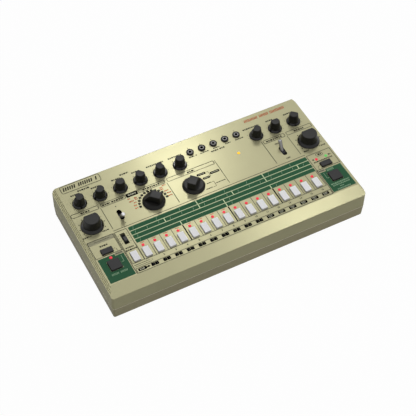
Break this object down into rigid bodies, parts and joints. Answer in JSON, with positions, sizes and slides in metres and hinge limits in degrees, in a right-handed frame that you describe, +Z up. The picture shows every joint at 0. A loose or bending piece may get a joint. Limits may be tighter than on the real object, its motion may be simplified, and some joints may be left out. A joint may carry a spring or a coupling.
{
  "type": "drum machine",
  "caption": "Desktop drum machine: champagne-gold panel, level knobs, rotary selectors, toggle switches, white step keys, black buttons and mini jacks.",
  "frame": {"origin": "on the surface it stands on, under the middle of the case", "axes": "+X to the player's right, +Y to the rear, +Z up"},
  "size_m": [0.305, 0.157, 0.0559],
  "materials": {
    "gold_shell": "satin champagne-gold metallic paint on moulded plastic",
    "knob_black": "black moulded plastic with a satin sheen",
    "black_plastic": "matte black moulded plastic",
    "black_gloss": "smooth black plastic",
    "key_white": "white moulded plastic",
    "key_black": "black moulded plastic",
    "steel": "zinc-plated steel",
    "silver_metal": "nickel-plated brass, worn smooth",
    "board_green": "solder-masked glass laminate",
    "rubber": "black rubber",
    "red_lens": "tinted clear plastic lens",
    "green_lens": "tinted clear plastic lens",
    "yellow_lens": "tinted clear plastic lens"
  },
  "bodies": {
    "case": {"upper_shell": "gold_shell", "lower_shell": "gold_shell", "rear_panel": "black_plastic", "rubber_feet": "rubber", "case_screws": "steel", "control_board": "board_green", "board_screws": "steel", "potentiometers": "steel", "rotary_switches": "black_plastic", "toggle_bodies": "black_plastic", "slide_switch_body": "black_plastic", "tactile_switches": "black_plastic", "red_leds": "red_lens", "green_led": "green_lens", "yellow_led": "yellow_lens", "jack_sockets": "silver_metal", "jack_nuts": "black_gloss", "power_inlet": "black_plastic", "usb_socket": "steel", "midi_sockets": "black_plastic", "output_jacks": "black_plastic", "power_switch_body": "black_plastic"},
    "level_knob_1_body": {"level_knob_1": "knob_black"},
    "level_knob_2_body": {"level_knob_2": "knob_black"},
    "level_knob_3_body": {"level_knob_3": "knob_black"},
    "level_knob_4_body": {"level_knob_4": "knob_black"},
    "level_knob_5_body": {"level_knob_5": "knob_black"},
    "level_knob_6_body": {"level_knob_6": "knob_black"},
    "level_knob_7_body": {"level_knob_7": "knob_black"},
    "level_knob_8_body": {"level_knob_8": "knob_black"},
    "level_knob_9_body": {"level_knob_9": "knob_black"},
    "tempo_knob_body": {"tempo_knob": "knob_black"},
    "volume_knob_body": {"volume_knob": "knob_black"},
    "pattern_selector_body": {"pattern_selector": "knob_black"},
    "mode_selector_body": {"mode_selector": "knob_black"},
    "left_toggle_lever_body": {"left_toggle_lever": "silver_metal"},
    "right_toggle_lever_body": {"right_toggle_lever": "silver_metal"},
    "slide_switch_knob_body": {"slide_switch_knob": "black_gloss"},
    "power_rocker_body": {"power_rocker": "black_gloss"},
    "step_button_01_body": {"step_button_01": "key_white"},
    "step_button_02_body": {"step_button_02": "key_white"},
    "step_button_03_body": {"step_button_03": "key_white"},
    "step_button_04_body": {"step_button_04": "key_white"},
    "step_button_05_body": {"step_button_05": "key_white"},
    "step_button_06_body": {"step_button_06": "key_white"},
    "step_button_07_body": {"step_button_07": "key_white"},
    "step_button_08_body": {"step_button_08": "key_white"},
    "step_button_09_body": {"step_button_09": "key_white"},
    "step_button_10_body": {"step_button_10": "key_white"},
    "step_button_11_body": {"step_button_11": "key_white"},
    "step_button_12_body": {"step_button_12": "key_white"},
    "step_button_13_body": {"step_button_13": "key_white"},
    "step_button_14_body": {"step_button_14": "key_white"},
    "step_button_15_body": {"step_button_15": "key_white"},
    "step_button_16_body": {"step_button_16": "key_white"},
    "function_button_body": {"function_button": "key_white"},
    "start_button_body": {"start_button": "key_black"},
    "tap_button_body": {"tap_button": "key_black"},
    "clear_button_body": {"clear_button": "key_black"},
    "select_button_body": {"select_button": "key_black"}
  },
  "joints": [
    {"name": "level_knob_1_turn", "type": "hinge", "parent": "case", "child": "level_knob_1_body", "pos_m": [-0.13255, 0.0468, 0.0428], "axis": [0, 0, -1], "range_deg": [-70, 230]},
    {"name": "level_knob_2_turn", "type": "hinge", "parent": "case", "child": "level_knob_2_body", "pos_m": [-0.10845, 0.0468, 0.0428], "axis": [0, 0, -1], "range_deg": [-105, 195]},
    {"name": "level_knob_3_turn", "type": "hinge", "parent": "case", "child": "level_knob_3_body", "pos_m": [-0.08435, 0.0468, 0.0428], "axis": [0, 0, -1], "range_deg": [-147, 153]},
    {"name": "level_knob_4_turn", "type": "hinge", "parent": "case", "child": "level_knob_4_body", "pos_m": [-0.06025, 0.0468, 0.0428], "axis": [0, 0, -1], "range_deg": [-198, 102]},
    {"name": "level_knob_5_turn", "type": "hinge", "parent": "case", "child": "level_knob_5_body", "pos_m": [-0.03615, 0.0468, 0.0428], "axis": [0, 0, -1], "range_deg": [-228, 72]},
    {"name": "level_knob_6_turn", "type": "hinge", "parent": "case", "child": "level_knob_6_body", "pos_m": [-0.01205, 0.0468, 0.0428], "axis": [0, 0, -1], "range_deg": [-160, 140]},
    {"name": "level_knob_7_turn", "type": "hinge", "parent": "case", "child": "level_knob_7_body", "pos_m": [0.08435, 0.0468, 0.0428], "axis": [0, 0, -1], "range_deg": [-105, 195]},
    {"name": "level_knob_8_turn", "type": "hinge", "parent": "case", "child": "level_knob_8_body", "pos_m": [0.10845, 0.0468, 0.0428], "axis": [0, 0, -1], "range_deg": [-152, 148]},
    {"name": "level_knob_9_turn", "type": "hinge", "parent": "case", "child": "level_knob_9_body", "pos_m": [0.13255, 0.0468, 0.0428], "axis": [0, 0, -1], "range_deg": [-192, 108]},
    {"name": "tempo_knob_turn", "type": "hinge", "parent": "case", "child": "tempo_knob_body", "pos_m": [-0.1329, 0.0133, 0.0428], "axis": [0, 0, -1], "range_deg": [-150, 150]},
    {"name": "volume_knob_turn", "type": "hinge", "parent": "case", "child": "volume_knob_body", "pos_m": [0.1329, 0.0133, 0.0428], "axis": [0, 0, -1], "range_deg": [-150, 150]},
    {"name": "pattern_selector_turn", "type": "hinge", "parent": "case", "child": "pattern_selector_body", "pos_m": [-0.06025, 0.0133, 0.0428], "axis": [0, 0, -1], "range_deg": [-45, 135]},
    {"name": "mode_selector_turn", "type": "hinge", "parent": "case", "child": "mode_selector_body", "pos_m": [-0.01205, 0.0133, 0.0428], "axis": [0, 0, -1], "range_deg": [-90, 0]},
    {"name": "left_toggle_lever_turn", "type": "hinge", "parent": "case", "child": "left_toggle_lever_body", "pos_m": [-0.0998, 0.0134, 0.0383], "axis": [-1, 0, 0], "range_deg": [0, 59]},
    {"name": "right_toggle_lever_turn", "type": "hinge", "parent": "case", "child": "right_toggle_lever_body", "pos_m": [0.0998, 0.0134, 0.0383], "axis": [1, 0, 0], "range_deg": [0, 59]},
    {"name": "slide_switch_knob_slide", "type": "slide", "parent": "case", "child": "slide_switch_knob_body", "axis": [0, 1, 0], "range_m": [-0.0021, 0.0057]},
    {"name": "power_rocker_turn", "type": "hinge", "parent": "case", "child": "power_rocker_body", "pos_m": [0.098, 0.0729, 0.0182], "axis": [-1, 0, 0], "range_deg": [0, 14]},
    {"name": "step_button_01_press", "type": "slide", "parent": "case", "child": "step_button_01_body", "axis": [0, 0, 1], "range_m": [-0.0006, 0], "stiffness_N_per_m": 300, "springref_m": 0.0005},
    {"name": "step_button_02_press", "type": "slide", "parent": "case", "child": "step_button_02_body", "axis": [0, 0, 1], "range_m": [-0.0006, 0], "stiffness_N_per_m": 300, "springref_m": 0.0005},
    {"name": "step_button_03_press", "type": "slide", "parent": "case", "child": "step_button_03_body", "axis": [0, 0, 1], "range_m": [-0.0006, 0], "stiffness_N_per_m": 300, "springref_m": 0.0005},
    {"name": "step_button_04_press", "type": "slide", "parent": "case", "child": "step_button_04_body", "axis": [0, 0, 1], "range_m": [-0.0006, 0], "stiffness_N_per_m": 300, "springref_m": 0.0005},
    {"name": "step_button_05_press", "type": "slide", "parent": "case", "child": "step_button_05_body", "axis": [0, 0, 1], "range_m": [-0.0006, 0], "stiffness_N_per_m": 300, "springref_m": 0.0005},
    {"name": "step_button_06_press", "type": "slide", "parent": "case", "child": "step_button_06_body", "axis": [0, 0, 1], "range_m": [-0.0006, 0], "stiffness_N_per_m": 300, "springref_m": 0.0005},
    {"name": "step_button_07_press", "type": "slide", "parent": "case", "child": "step_button_07_body", "axis": [0, 0, 1], "range_m": [-0.0006, 0], "stiffness_N_per_m": 300, "springref_m": 0.0005},
    {"name": "step_button_08_press", "type": "slide", "parent": "case", "child": "step_button_08_body", "axis": [0, 0, 1], "range_m": [-0.0006, 0], "stiffness_N_per_m": 300, "springref_m": 0.0005},
    {"name": "step_button_09_press", "type": "slide", "parent": "case", "child": "step_button_09_body", "axis": [0, 0, 1], "range_m": [-0.0006, 0], "stiffness_N_per_m": 300, "springref_m": 0.0005},
    {"name": "step_button_10_press", "type": "slide", "parent": "case", "child": "step_button_10_body", "axis": [0, 0, 1], "range_m": [-0.0006, 0], "stiffness_N_per_m": 300, "springref_m": 0.0005},
    {"name": "step_button_11_press", "type": "slide", "parent": "case", "child": "step_button_11_body", "axis": [0, 0, 1], "range_m": [-0.0006, 0], "stiffness_N_per_m": 300, "springref_m": 0.0005},
    {"name": "step_button_12_press", "type": "slide", "parent": "case", "child": "step_button_12_body", "axis": [0, 0, 1], "range_m": [-0.0006, 0], "stiffness_N_per_m": 300, "springref_m": 0.0005},
    {"name": "step_button_13_press", "type": "slide", "parent": "case", "child": "step_button_13_body", "axis": [0, 0, 1], "range_m": [-0.0006, 0], "stiffness_N_per_m": 300, "springref_m": 0.0005},
    {"name": "step_button_14_press", "type": "slide", "parent": "case", "child": "step_button_14_body", "axis": [0, 0, 1], "range_m": [-0.0006, 0], "stiffness_N_per_m": 300, "springref_m": 0.0005},
    {"name": "step_button_15_press", "type": "slide", "parent": "case", "child": "step_button_15_body", "axis": [0, 0, 1], "range_m": [-0.0006, 0], "stiffness_N_per_m": 300, "springref_m": 0.0005},
    {"name": "step_button_16_press", "type": "slide", "parent": "case", "child": "step_button_16_body", "axis": [0, 0, 1], "range_m": [-0.0006, 0], "stiffness_N_per_m": 300, "springref_m": 0.0005},
    {"name": "function_button_press", "type": "slide", "parent": "case", "child": "function_button_body", "axis": [0, 0, 1], "range_m": [-0.0006, 0], "stiffness_N_per_m": 300, "springref_m": 0.0005},
    {"name": "start_button_press", "type": "slide", "parent": "case", "child": "start_button_body", "axis": [0, 0, 1], "range_m": [-0.0006, 0], "stiffness_N_per_m": 300, "springref_m": 0.0005},
    {"name": "tap_button_press", "type": "slide", "parent": "case", "child": "tap_button_body", "axis": [0, 0, 1], "range_m": [-0.0006, 0], "stiffness_N_per_m": 300, "springref_m": 0.0005},
    {"name": "clear_button_press", "type": "slide", "parent": "case", "child": "clear_button_body", "axis": [0, 0, 1], "range_m": [-0.0006, 0], "stiffness_N_per_m": 300, "springref_m": 0.0005},
    {"name": "select_button_press", "type": "slide", "parent": "case", "child": "select_button_body", "axis": [0, 0, 1], "range_m": [-0.0006, 0], "stiffness_N_per_m": 300, "springref_m": 0.0005}
  ]
}
